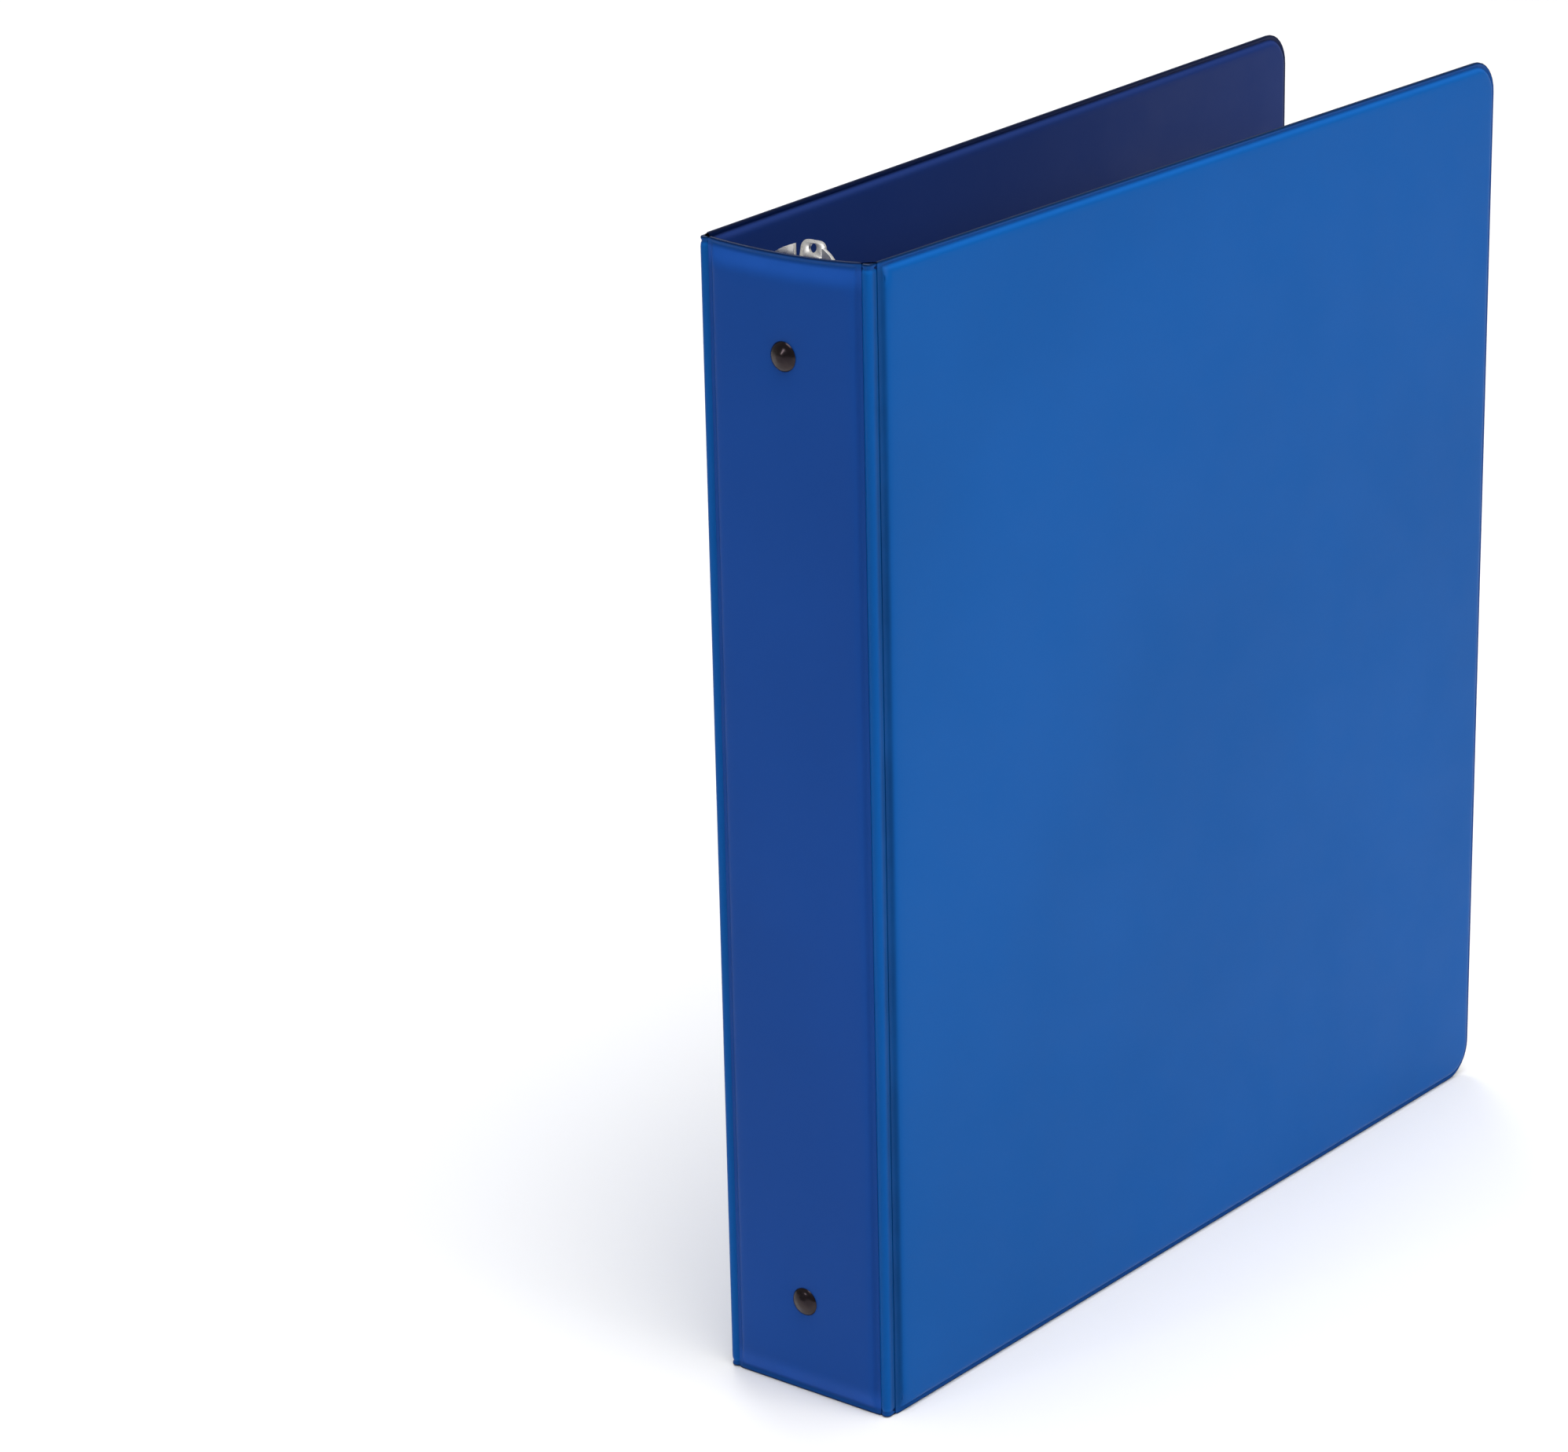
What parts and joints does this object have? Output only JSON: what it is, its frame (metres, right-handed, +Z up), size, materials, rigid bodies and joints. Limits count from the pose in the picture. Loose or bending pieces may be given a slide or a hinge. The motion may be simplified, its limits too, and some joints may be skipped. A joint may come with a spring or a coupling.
{
  "type": "ring binder",
  "caption": "Upright vinyl-covered ring binder with two hinged covers, inside pockets and a riveted round-ring mechanism opened by end levers.",
  "frame": {"origin": "centre of the box's underside, on the surface that the binder stands on, midway between the rivet heads on the spine and the covers' fore edges", "axes": "+Z up the binder's height; +X from the spine towards the fore edges; the front cover faces -Y"},
  "size_m": [0.2684, 0.0686, 0.295],
  "materials": {
    "vinyl": "smooth semi-gloss blue vinyl",
    "inner_vinyl": "satin dark blue vinyl lining",
    "pocket_vinyl": "satin dark blue vinyl sheet",
    "board": "raw grey chipboard",
    "nickel": "bright nickel-plated steel",
    "dark_metal": "dark antique-finished steel"
  },
  "bodies": {
    "spine": {"spine_board": "board", "spine_outer_vinyl": "vinyl", "spine_inner_vinyl": "inner_vinyl", "ring_housing": "nickel", "top_rivet": "dark_metal", "bottom_rivet": "dark_metal", "front_hinge_vinyl": "vinyl", "back_hinge_vinyl": "vinyl"},
    "front_cover": {"front_board": "board", "front_outer_vinyl": "vinyl", "front_inner_vinyl": "inner_vinyl", "front_pocket": "pocket_vinyl"},
    "back_cover": {"back_board": "board", "back_outer_vinyl": "vinyl", "back_inner_vinyl": "inner_vinyl", "back_pocket": "pocket_vinyl"},
    "front_rings": {"front_plate": "nickel", "front_half_ring_top": "nickel", "front_half_ring_middle": "nickel", "front_half_ring_bottom": "nickel"},
    "back_rings": {"back_plate": "nickel", "back_half_ring_top": "nickel", "back_half_ring_middle": "nickel", "back_half_ring_bottom": "nickel"},
    "top_lever": {"top_lever": "nickel"},
    "bottom_lever": {"bottom_lever": "nickel"}
  },
  "joints": [
    {"name": "front_cover_hinge", "type": "hinge", "parent": "spine", "child": "front_cover", "pos_m": [-0.13135, -0.0249, 0], "axis": [0, 0, -1], "range_deg": [0, 178.25], "deforming": ["front_hinge_vinyl"]},
    {"name": "back_cover_hinge", "type": "hinge", "parent": "spine", "child": "back_cover", "pos_m": [-0.13135, 0.0249, 0], "axis": [0, 0, 1], "range_deg": [0, 178.25], "deforming": ["back_hinge_vinyl"]},
    {"name": "ring_opening", "type": "hinge", "parent": "spine", "child": "back_rings", "pos_m": [-0.1267, 0.0104, 0], "axis": [0, 0, 1], "range_deg": [0, 13.5]},
    {"name": "front_ring_hinge", "type": "hinge", "parent": "spine", "child": "front_rings", "pos_m": [-0.1267, -0.0104, 0], "axis": [0, 0, -1], "range_deg": [0, 13.5]},
    {"name": "top_lever_hinge", "type": "hinge", "parent": "spine", "child": "top_lever", "pos_m": [-0.1253, 0, 0.283], "axis": [0, -1, 0], "range_deg": [0, 12]},
    {"name": "bottom_lever_hinge", "type": "hinge", "parent": "spine", "child": "bottom_lever", "pos_m": [-0.1253, 0, 0.012], "axis": [0, 1, 0], "range_deg": [0, 12]}
  ],
  "couplings": [
    {"joint": "front_ring_hinge", "follows": "ring_opening", "ratio": 1},
    {"joint": "top_lever_hinge", "follows": "ring_opening", "ratio": 0.888},
    {"joint": "bottom_lever_hinge", "follows": "ring_opening", "ratio": 0.888}
  ]
}
